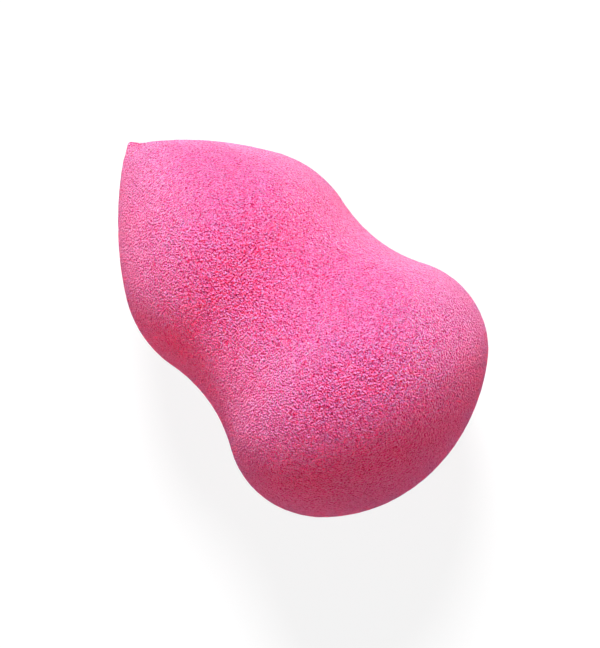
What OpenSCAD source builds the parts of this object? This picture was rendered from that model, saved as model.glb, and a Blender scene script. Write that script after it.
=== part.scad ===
// Gourd-shaped makeup sponge: one piece of soft open-cell foam, lying on its side.
// The body is a single revolve. Its outline is five arcs that run into each other
// without a corner: cap, lower lobe, waist, upper lobe and flank, then a small
// rounded tip. +Z is up from the table and the tip points along +X.

/* [Lower lobe] */
// Diameter of the lower lobe at its widest
base_d = 40; // [34:0.5:46]
// Radius that rounds the lower lobe's side
base_r = 12.5; // [6:0.5:16]
// Radius of the domed cap that closes the lower end
cap_r = 24.2; // [23.2:0.2:60]

/* [Upper lobe] */
// Diameter of the upper lobe at its widest
top_d = 33.6; // [30:0.2:38]
// Radius that rounds the upper lobe's side
top_r = 15.9; // [10:0.1:20]
// Distance from the lower lobe's widest ring to the upper lobe's
top_rise = 23.7; // [20:0.1:30]

/* [Waist] */
// Radius of the hollow curve between the two lobes
waist_r = 21.8; // [12:0.2:60]

/* [Tip] */
// Distance from the upper lobe's widest ring to the very tip
tip_rise = 23.7; // [18:0.1:40]
// Radius of the flank that runs from the upper lobe to the tip
flank_r = 49; // [30:0.5:200]
// Radius of the rounded tip
tip_r = 0.5; // [0.3:0.1:2]

/* [Resting flats] */
// Depth that the foam gives way where each lobe rests on the table
rest_cut = 0.5; // [0.2:0.1:1]

/* [Quality] */
// Steps along each arc of the outline
arc_steps = 14; // [6:1:24]

/* [Hidden] */
foam_pink = [0.94, 0.47, 0.69];
$fn = 96;

// A place in the outline is [distance from the axis, height above the cap's lowest point]
function direction(a) = [cos(a), sin(a)];
function heading(v) = atan2(v[1], v[0]);

// Centre that lies p_dist from p and q_dist from q, to the right of the way from p to q
function reach(p, p_dist, q, q_dist) =
    let (way = q - p,
         gap = norm(way),
         along = (gap * gap + p_dist * p_dist - q_dist * q_dist) / (2 * gap),
         aside = sqrt(p_dist * p_dist - along * along))
    p + way * along / gap + [way[1], -way[0]] * aside / gap;

// Points of an arc, without its last one, which starts the next arc
function arc(centre, r, from, to) =
    [for (i = [0 : arc_steps - 1]) centre + r * direction(from + (to - from) * i / arc_steps)];

// Centres of the arcs, each tangent to its neighbours
base_in = base_d / 2 - base_r;
top_in = top_d / 2 - top_r;
cap_c = [0, cap_r];
base_c = [base_in, cap_r - sqrt(pow(cap_r - base_r, 2) - pow(base_in, 2))];
top_c = [top_in, base_c[1] + top_rise];
waist_c = reach(base_c, base_r + waist_r, top_c, top_r + waist_r);
body_len = top_c[1] + tip_rise;
tip_c = [0, body_len - tip_r];
flank_c = reach(tip_c, flank_r - tip_r, top_c, flank_r - top_r);

// Headings at which each arc hands over to the next
cap_end = heading(base_c - cap_c);
base_end = heading(waist_c - base_c);
top_start = heading(waist_c - top_c);
top_end = heading(top_c - flank_c);
tip_start = heading(tip_c - flank_c);

// The waist curves the other way, so its points lie half a turn round its centre
outline = concat(
    arc(cap_c, cap_r, -90, cap_end),
    arc(base_c, base_r, cap_end, base_end),
    arc(waist_c, waist_r, base_end + 180, top_start + 180),
    arc(top_c, top_r, top_start, top_end),
    arc(flank_c, flank_r, top_end, tip_start),
    arc(tip_c, tip_r, tip_start, 90),
    [[0, body_len]]);

// Lying pose: the straight line that touches both lobes becomes the table
lie_angle = atan2(base_in - top_in, top_rise) - asin((top_r - base_r) / norm(top_c - base_c));
touch_height = base_in * cos(lie_angle) + base_c[1] * sin(lie_angle) + base_r;
far_end = tip_c[1] * cos(lie_angle) + tip_r;
near_end = cap_r * cos(lie_angle) - cap_r;

module lying_blank()
    translate([-(far_end + near_end) / 2, 0, touch_height - rest_cut])
        rotate([0, 90 + lie_angle, 0])
            rotate_extrude()
                polygon(outline);

module foam_body()
    color(foam_pink)
        difference() {
            lying_blank();
            translate([-body_len, -base_d, -base_d])
                cube([2 * body_len, 2 * base_d, base_d]);
        }

foam_body();
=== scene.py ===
import math

import bpy
import numpy as np
from mathutils import Matrix, Vector, noise

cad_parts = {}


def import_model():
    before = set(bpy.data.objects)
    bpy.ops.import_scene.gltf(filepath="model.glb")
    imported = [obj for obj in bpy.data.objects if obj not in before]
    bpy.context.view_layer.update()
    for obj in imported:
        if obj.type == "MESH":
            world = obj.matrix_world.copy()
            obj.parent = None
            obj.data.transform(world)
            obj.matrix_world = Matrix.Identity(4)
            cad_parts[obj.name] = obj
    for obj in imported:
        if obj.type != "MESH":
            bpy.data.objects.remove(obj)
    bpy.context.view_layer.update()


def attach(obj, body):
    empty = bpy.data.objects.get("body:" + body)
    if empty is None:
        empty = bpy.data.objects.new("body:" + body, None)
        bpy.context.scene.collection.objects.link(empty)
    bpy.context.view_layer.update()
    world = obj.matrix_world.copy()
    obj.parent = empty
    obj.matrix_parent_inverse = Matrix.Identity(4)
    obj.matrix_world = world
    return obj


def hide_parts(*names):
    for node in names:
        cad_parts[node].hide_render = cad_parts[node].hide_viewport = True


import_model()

# Gourd-shaped makeup sponge in pink open-cell foam, lying on its side on a white table
# and seen from above. Sizes are in millimetres until MM turns them into metres. The row
# frame has +Z up from the table and +X towards the sponge's tip.

MM = 0.001

# Driving sizes of the sponge, the same as the solid's
BASE_D = 40.0
BASE_R = 12.5
CAP_R = 24.2
TOP_D = 33.6
TOP_R = 15.9
TOP_RISE = 23.7
WAIST_R = 21.8
TIP_RISE = 23.7
FLANK_R = 49.0
TIP_R = 0.5
REST_CUT = 0.5

# How the photograph's sponge departs from a true revolve: a small nub at the tip, which
# leans and stands out of a slight hollow, and a cap that sits a little to the other side.
# A lean moves the foam sideways and a draw moves it along the axis. Each grows over the
# depth that is named with it, up to its full size at the tip, or at the end of the cap.
NUB_LEAN = 0.50
NUB_LEAN_DEPTH = 1.4
NUB_DRAW = 0.20
NUB_DRAW_DEPTH = 0.7
TIP_LEAN = 0.15
TIP_LEAN_DEPTH = 16.0
TIP_DRAW = 0.2
TIP_DRAW_DEPTH = 8.0
CAP_LEAN = 0.5
CAP_LEAN_DEPTH = 9.0

# Points along each arc of the outline
ARC_STEPS = 400

# Steps along each edge of the icosahedron that the mesh is made from. They give 20
# triangles for each step squared, about 0.3 mm across.
MESH_STEPS = 98

# Surface relief that is modelled in the mesh
SWELL_SIZE = 14.0
SWELL_HEIGHT = 0.10
GRAIN_SIZE = 0.7
GRAIN_HEIGHT = 0.04

# Each seed reads its own part of the noise, this far from the last one's
NOISE_SHIFT = (17.3, 5.9, 11.1)

# Points nearer than this, or the same to this many digits, are one point
SAME_POINT = 1e-9
SAME_DIGITS = 6


def heading(v):
    """Angle of the way v, in radians."""
    return math.atan2(v[1], v[0])


def reach(p, p_dist, q, q_dist):
    """Centre that lies p_dist from p and q_dist from q, to the right of the way from p to q."""
    way = q - p
    gap = np.hypot(*way)
    along = (gap**2 + p_dist**2 - q_dist**2) / (2 * gap)
    aside = math.sqrt(p_dist**2 - along**2)
    return p + way * along / gap + np.array([way[1], -way[0]]) * aside / gap


def arc(centre, radius, start, end):
    """Points of an arc from one heading to another."""
    angle = np.linspace(start, end, ARC_STEPS)
    return centre + radius * np.stack([np.cos(angle), np.sin(angle)], 1)


def outline():
    """The outline's points [distance from the axis, height above the cap], from the cap to
    the tip, with the axis's dip towards the tip and the place of the cap's lowest point."""
    base_in = BASE_D / 2 - BASE_R
    top_in = TOP_D / 2 - TOP_R
    cap_c = np.array([0, CAP_R])
    base_c = np.array([base_in, CAP_R - math.sqrt((CAP_R - BASE_R) ** 2 - base_in**2)])
    top_c = np.array([top_in, base_c[1] + TOP_RISE])
    waist_c = reach(base_c, BASE_R + WAIST_R, top_c, TOP_R + WAIST_R)
    tip_c = np.array([0, top_c[1] + TIP_RISE - TIP_R])
    flank_c = reach(tip_c, FLANK_R - TIP_R, top_c, FLANK_R - TOP_R)
    cap_end = heading(base_c - cap_c)
    base_end = heading(waist_c - base_c)
    top_start = heading(waist_c - top_c)
    top_end = heading(top_c - flank_c)
    tip_start = heading(tip_c - flank_c)
    quarter, half = math.pi / 2, math.pi
    points = np.concatenate([
        arc(cap_c, CAP_R, -quarter, cap_end),
        arc(base_c, BASE_R, cap_end, base_end),
        arc(waist_c, WAIST_R, base_end + half, top_start + half),
        arc(top_c, TOP_R, top_start, top_end),
        arc(flank_c, FLANK_R, top_end, tip_start),
        arc(tip_c, TIP_R, tip_start, quarter),
    ])
    keep = np.concatenate([[True], np.hypot(*np.diff(points, axis=0).T) > SAME_POINT])
    gap = math.hypot(*(top_c - base_c))
    lie_angle = math.atan2(base_in - top_in, TOP_RISE) - math.asin((TOP_R - BASE_R) / gap)
    touch = base_in * math.cos(lie_angle) + base_c[1] * math.sin(lie_angle) + BASE_R
    far_end = tip_c[1] * math.cos(lie_angle) + TIP_R
    near_end = CAP_R * math.cos(lie_angle) - CAP_R
    origin = Vector((-(far_end + near_end) / 2, 0, touch - REST_CUT))
    return points[keep], lie_angle, origin


def on_axis(share):
    """Place in the row frame of the point at that share of the axis, from cap to tip."""
    profile, lie_angle, origin = outline()
    height = share * profile[:, 1].max()
    return Vector((height * math.cos(lie_angle), 0, -height * math.sin(lie_angle))) + origin


def geodesic(steps):
    """Unit sphere of even triangles: an icosahedron whose faces are split into steps."""
    gold = (1 + math.sqrt(5)) / 2
    corners = np.array([
        (-1, gold, 0), (1, gold, 0), (-1, -gold, 0), (1, -gold, 0),
        (0, -1, gold), (0, 1, gold), (0, -1, -gold), (0, 1, -gold),
        (gold, 0, -1), (gold, 0, 1), (-gold, 0, -1), (-gold, 0, 1),
    ]) / math.hypot(1, gold)
    faces = [
        (0, 11, 5), (0, 5, 1), (0, 1, 7), (0, 7, 10), (0, 10, 11),
        (1, 5, 9), (5, 11, 4), (11, 10, 2), (10, 7, 6), (7, 1, 8),
        (3, 9, 4), (3, 4, 2), (3, 2, 6), (3, 6, 8), (3, 8, 9),
        (4, 9, 5), (2, 4, 11), (6, 2, 10), (8, 6, 7), (9, 8, 1),
    ]
    rows = [(i, j) for i in range(steps + 1) for j in range(steps + 1 - i)]
    number = {row: place for place, row in enumerate(rows)}
    share = np.array([(steps - i - j, i, j) for i, j in rows]) / steps
    split = []
    for i in range(steps):
        for j in range(steps - i):
            split.append((number[i, j], number[i + 1, j], number[i, j + 1]))
            if i + j < steps - 1:
                split.append((number[i + 1, j], number[i + 1, j + 1], number[i, j + 1]))
    split = np.array(split)
    points = np.concatenate([share @ corners[list(face)] for face in faces])
    points /= np.linalg.norm(points, axis=1)[:, None]
    triangles = np.concatenate([split + face * len(rows) for face in range(len(faces))])
    kept, place = np.unique(np.round(points, SAME_DIGITS), axis=0, return_inverse=True)
    return kept, place.reshape(-1)[triangles]


def smooth(x):
    """Rises gently from 0 at 0 to 1 at 1."""
    x = np.clip(x, 0, 1)
    return x * x * (3 - 2 * x)


def noise_at(points, size, seed):
    """Smooth noise between -1 and 1 at each point, with lumps of that size."""
    shift = Vector(NOISE_SHIFT) * seed
    return np.array([noise.noise(Vector(point) / size + shift) for point in points])


def foam_mesh():
    """The sponge's skin, in metres, in the row frame."""
    sphere, triangles = geodesic(MESH_STEPS)
    profile, lie_angle, origin = outline()
    radii, heights = profile.T
    length = heights.max()

    # Each place on the sphere goes where as much of the skin lies below it as of the sphere
    belts = np.pi * (radii[1:] + radii[:-1]) * np.hypot(np.diff(radii), np.diff(heights))
    area = np.concatenate([[0], np.cumsum(belts)])
    skin_share = area / area[-1]
    share = (1 + sphere[:, 2]) / 2
    radius = np.interp(share, skin_share, radii)
    height = np.interp(share, skin_share, heights)
    turn = np.arctan2(sphere[:, 1], sphere[:, 0])
    points = np.stack([radius * np.cos(turn), radius * np.sin(turn), height], 1)

    # The skin's normals stand square to the outline
    slope_r = np.gradient(radii)
    slope_h = np.gradient(heights)
    slope = np.hypot(slope_r, slope_h)
    out = np.interp(share, skin_share, slope_h / slope)
    up = np.interp(share, skin_share, -slope_r / slope)
    normals = np.stack([out * np.cos(turn), out * np.sin(turn), up], 1)
    normals /= np.linalg.norm(normals, axis=1)[:, None]

    lift = SWELL_HEIGHT * noise_at(points, SWELL_SIZE, 1)
    lift += GRAIN_HEIGHT * noise_at(points, GRAIN_SIZE, 2)
    points += normals * lift[:, None]

    def near_tip(depth):
        return smooth((points[:, 2] - length + depth) / depth)

    def near_cap(depth):
        return smooth((depth - points[:, 2]) / depth)

    points[:, 1] -= NUB_LEAN * near_tip(NUB_LEAN_DEPTH)
    points[:, 1] -= TIP_LEAN * near_tip(TIP_LEAN_DEPTH)
    points[:, 2] += TIP_DRAW * near_tip(TIP_DRAW_DEPTH)
    points[:, 2] += NUB_DRAW * near_tip(NUB_DRAW_DEPTH)
    points[:, 1] += CAP_LEAN * near_cap(CAP_LEAN_DEPTH)

    lie_down = Matrix.Translation(origin) @ Matrix.Rotation(math.pi / 2 + lie_angle, 4, "Y")
    lie_down = np.array(lie_down)
    points = points @ lie_down[:3, :3].T + lie_down[:3, 3]

    # The table flattens the two lobes where they rest
    points[:, 2] = np.maximum(points[:, 2], 0)

    mesh = bpy.data.meshes.new("foam_skin")
    mesh.from_pydata((points * MM).tolist(), [], triangles.tolist())
    mesh.validate()
    mesh.shade_smooth()
    return mesh


# Sockets of a mix node that mixes colours: its inputs and its result
MIX_FACTOR = 0
MIX_FIRST = 6
MIX_SECOND = 7
MIX_RESULT = 2


class Nodes:
    """A short way to write a node material."""

    def __init__(self, owner):
        owner.use_nodes = True
        self.tree = owner.node_tree
        self.tree.nodes.clear()

    def add(self, kind, settings=None, **inputs):
        node = self.tree.nodes.new(kind)
        for name, value in (settings or {}).items():
            setattr(node, name, value)
        for name, value in inputs.items():
            self.put(node, name.replace("_", " "), value)
        return node

    def put(self, node, socket, value):
        if isinstance(value, bpy.types.NodeSocket):
            self.tree.links.new(value, node.inputs[socket])
        else:
            node.inputs[socket].default_value = value

    def math(self, operation, first, second=0.0):
        node = self.add("ShaderNodeMath", {"operation": operation})
        self.put(node, 0, first)
        self.put(node, 1, second)
        return node.outputs[0]

    def ramp(self, value, limits):
        """Rises gently from 0 at the first limit to 1 at the second."""
        node = self.add("ShaderNodeMapRange", {"interpolation_type": "SMOOTHSTEP"},
                        Value=value, From_Min=limits[0], From_Max=limits[1])
        return node.outputs["Result"]

    def mix(self, factor, first, second):
        node = self.add("ShaderNodeMix", {"data_type": "RGBA"})
        self.put(node, MIX_FACTOR, factor)
        self.put(node, MIX_FIRST, first)
        self.put(node, MIX_SECOND, second)
        return node.outputs[MIX_RESULT]

    def seen(self):
        """1 for a ray from the camera, off a gloss or through glass, and 0 for light."""
        path = self.add("ShaderNodeLightPath").outputs
        direct = self.math("MAXIMUM", path["Is Camera Ray"], path["Is Glossy Ray"])
        return self.math("MAXIMUM", direct, path["Is Transmission Ray"])


# Struts stand round pits in the bump relief. The struts' paler pink is a painted highlight on
# the crests, and the pits' deeper pink is painted shade in the hollows. Sizes are those of the
# noise that makes them.
STRUT_HIGHLIGHT_PINK = (1.0, 0.27, 0.56, 1)
FOAM_PINK = (1.0, 0.125, 0.395, 1)
PIT_SHADE_PINK = (0.70, 0.02, 0.12, 1)
PIT_SIZE = 0.19
STRUT_SIZE = 0.27
LUMP_SIZE = 0.25
LUMP_HEIGHT = 0.95
PIT_DEPTH = 0.03

# Noise levels between which a pit's floor rises to its edge, and distances from the
# noise's middle level between which a strut's side rises to its crest
PIT_LIMITS = (0.32, 0.62)
NOISE_MIDDLE = 0.5
STRUT_LIMITS = (0.14, 0.0)

# How much of the height comes from pits and struts, and the heights between which the
# pits' painted shade turns to the foam's pink, and the foam's pink to the struts' painted
# highlight
PIT_SHARE = 0.65
STRUT_SHARE = 0.35
FOAM_LIMITS = (0.05, 0.45)
CREST_LIMITS = (0.45, 0.95)

# Share of the light that spreads inside the foam, and how far its red, green and blue
# get. The thin nub has no room for it, so the share fades out between these distances
# from the tip.
SPREAD = 0.7
SPREAD_REACH = (100.0, 0.1, 0.1)
SPREAD_LIMITS = (0.6, 2.4)

# A dull foam, with pale fuzz that shows at the rims
ROUGHNESS = 0.9
SPECULAR = 0.03
FUZZ = 0.6
FUZZ_ROUGHNESS = 0.12
FUZZ_PINK = (1.0, 0.75, 0.88, 1)


def foam_material():
    """Cut open-cell foam, with struts and pits a third of a millimetre across, in bump relief,
    with painted shade in the pits and a painted highlight on the struts.
    """
    material = bpy.data.materials.new("pink_foam")
    nodes = Nodes(material)
    place = nodes.add("ShaderNodeTexCoord").outputs["Object"]

    def noise_map(size, seed):
        node = nodes.add("ShaderNodeTexNoise", {"noise_dimensions": "4D"}, Vector=place,
                         W=seed, Scale=1 / (size * MM), Detail=0.0)
        return node.outputs["Fac"]

    def weigh(value, weight):
        return nodes.math("MULTIPLY", value, weight)

    pits = nodes.ramp(noise_map(PIT_SIZE, 1.0), PIT_LIMITS)
    level = nodes.math("SUBTRACT", noise_map(STRUT_SIZE, 2.0), NOISE_MIDDLE)
    struts = nodes.ramp(nodes.math("ABSOLUTE", level), STRUT_LIMITS)
    height = nodes.math("ADD", weigh(pits, PIT_SHARE), weigh(struts, STRUT_SHARE))
    lumps = noise_map(LUMP_SIZE, 3.0)
    relief = nodes.math("ADD", weigh(lumps, LUMP_HEIGHT), weigh(height, PIT_DEPTH))
    bump = nodes.add("ShaderNodeBump", Height=relief, Strength=1.0, Distance=MM)

    # Painted shade and highlight: the pits get a deeper pink where shade falls in the hollows,
    # and the struts a paler pink where light catches the crests.
    low = nodes.mix(nodes.ramp(height, FOAM_LIMITS), PIT_SHADE_PINK, FOAM_PINK)
    color = nodes.mix(nodes.ramp(height, CREST_LIMITS), low, STRUT_HIGHLIGHT_PINK)

    tip_x = on_axis(1.0).x
    along = nodes.add("ShaderNodeSeparateXYZ", Vector=place).outputs["X"]
    room = nodes.ramp(along, [(tip_x - limit) * MM for limit in SPREAD_LIMITS])

    foam = nodes.add("ShaderNodeBsdfPrincipled", {"subsurface_method": "BURLEY"},
                     Base_Color=color, Roughness=ROUGHNESS, Normal=bump.outputs["Normal"],
                     Subsurface_Weight=weigh(room, SPREAD), Subsurface_Scale=MM,
                     Subsurface_Radius=SPREAD_REACH, Specular_IOR_Level=SPECULAR,
                     Sheen_Weight=FUZZ, Sheen_Roughness=FUZZ_ROUGHNESS, Sheen_Tint=FUZZ_PINK)
    nodes.add("ShaderNodeOutputMaterial", Surface=foam.outputs[0])
    return material


def foam_body():
    piece = bpy.data.objects.new("sponge_foam", foam_mesh())
    bpy.context.scene.collection.objects.link(piece)
    piece.data.materials.append(foam_material())
    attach(piece, "root")
    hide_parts("foam_body")


# The camera looks down on the lying sponge. It leans a little towards the cap, so that it
# sees the axis about ten degrees off square, with the fat end nearer. The picture is
# fitted by the size of a millimetre in it, the way that the axis runs across it, and the
# pixel where the middle of the axis lies. The camera's clip distances are in metres.
PHOTO_WIDTH = 600
PHOTO_HEIGHT = 648
PIXELS_PER_MM = 7.202
AXIS_ANGLE = 46.10
AXIS_MIDDLE_PX = (279.12, 305.75)
CAMERA_LEAN = 2.7
CAMERA_DISTANCE = 500.0
SENSOR = 36.0
CLIP_START = 0.01
CLIP_END = 20


def camera():
    """Places the camera and returns the picture's right, its up and the way back to the eye."""
    lean = math.radians(CAMERA_LEAN)
    back = Vector((-math.sin(lean), 0, math.cos(lean)))
    tip_way = Vector((math.cos(lean), 0, math.sin(lean)))
    side = back.cross(tip_way)
    turn = math.radians(AXIS_ANGLE)
    right = -math.cos(turn) * tip_way - math.sin(turn) * side
    up = back.cross(right)
    target = on_axis(0.5)
    across = (AXIS_MIDDLE_PX[0] - PHOTO_WIDTH / 2) / PIXELS_PER_MM
    above = (PHOTO_HEIGHT / 2 - AXIS_MIDDLE_PX[1]) / PIXELS_PER_MM
    eye = target + back * CAMERA_DISTANCE - right * across - up * above
    data = bpy.data.cameras.new("camera")
    data.sensor_width = SENSOR
    data.lens = SENSOR * CAMERA_DISTANCE * PIXELS_PER_MM / PHOTO_HEIGHT
    data.clip_start = CLIP_START
    data.clip_end = CLIP_END
    obj = bpy.data.objects.new("camera", data)
    bpy.context.scene.collection.objects.link(obj)
    turn_to = Matrix((right, up, back)).transposed().to_4x4()
    obj.matrix_world = Matrix.Translation(eye * MM) @ turn_to
    bpy.context.scene.camera = obj
    return right, up, back


# The table is a pale one for the light. Where it is seen, most of its white is a glow, and
# a darker grey on top of that catches the sponge's shadow. Its side is in metres.
FLOOR_SIZE = 3.0
TABLE_GREY = (0.85, 0.85, 0.85, 1)
SHADOW_GREY = (0.16, 0.16, 0.16, 1)
WHITE = (1, 1, 1, 1)
GLOW = 0.88


def floor():
    mesh = bpy.data.meshes.new("floor")
    far = FLOOR_SIZE / 2
    corners = [(-far, -far, 0), (far, -far, 0), (far, far, 0), (-far, far, 0)]
    mesh.from_pydata(corners, [], [(0, 1, 2, 3)])
    obj = bpy.data.objects.new("floor", mesh)
    bpy.context.scene.collection.objects.link(obj)
    material = bpy.data.materials.new("white_table")
    nodes = Nodes(material)
    table = nodes.add("ShaderNodeBsdfDiffuse", Color=TABLE_GREY).outputs[0]
    shadow = nodes.add("ShaderNodeBsdfDiffuse", Color=SHADOW_GREY).outputs[0]
    glow = nodes.add("ShaderNodeEmission", Color=WHITE, Strength=GLOW).outputs[0]
    shown = nodes.add("ShaderNodeAddShader")
    nodes.put(shown, 0, shadow)
    nodes.put(shown, 1, glow)
    pick = nodes.add("ShaderNodeMixShader")
    nodes.put(pick, 0, nodes.seen())
    nodes.put(pick, 1, table)
    nodes.put(pick, 2, shown.outputs[0])
    nodes.add("ShaderNodeOutputMaterial", Surface=pick.outputs[0])
    mesh.materials.append(material)


def world():
    """A white backdrop that is seen but lights nothing."""
    backdrop = bpy.data.worlds.new("world")
    bpy.context.scene.world = backdrop
    nodes = Nodes(backdrop)
    light = nodes.add("ShaderNodeBackground", Color=WHITE, Strength=nodes.seen())
    nodes.add("ShaderNodeOutputWorld", Surface=light.outputs[0])


# Each lamp's turn round the picture (0 is its right, 90 its top), its rise towards the
# camera, and its strength, at which 1 lights a white that faces it as 1. Each is as wide
# in the sky as the spread. Angles are in degrees.
LAMPS = {
    "key": (95, 38, 1.80),
    "left": (210, 20, 0.12),
    "low_left": (180, 8, 0.09),
    "low_right": (0, 8, 0.10),
    "lower_right": (325, 8, 0.13),
}
LAMP_SPREAD = 22


def soft_lamp(name, way, strength):
    """A far soft lamp that shines from the direction way."""
    data = bpy.data.lights.new(name, "SUN")
    data.energy = strength * math.pi
    data.angle = math.radians(LAMP_SPREAD)
    obj = bpy.data.objects.new(name, data)
    obj.rotation_mode = "QUATERNION"
    obj.rotation_quaternion = Vector(way).to_track_quat("Z", "Y")
    bpy.context.scene.collection.objects.link(obj)


def lamps(right, up, back):
    for name, (turn, rise, strength) in LAMPS.items():
        turn, rise = math.radians(turn), math.radians(rise)
        across = right * math.cos(turn) + up * math.sin(turn)
        soft_lamp(name, across * math.cos(rise) + back * math.sin(rise), strength)


foam_body()
right, up, back = camera()
floor()
world()
lamps(right, up, back)

bpy.context.scene.view_settings.view_transform = "Standard"
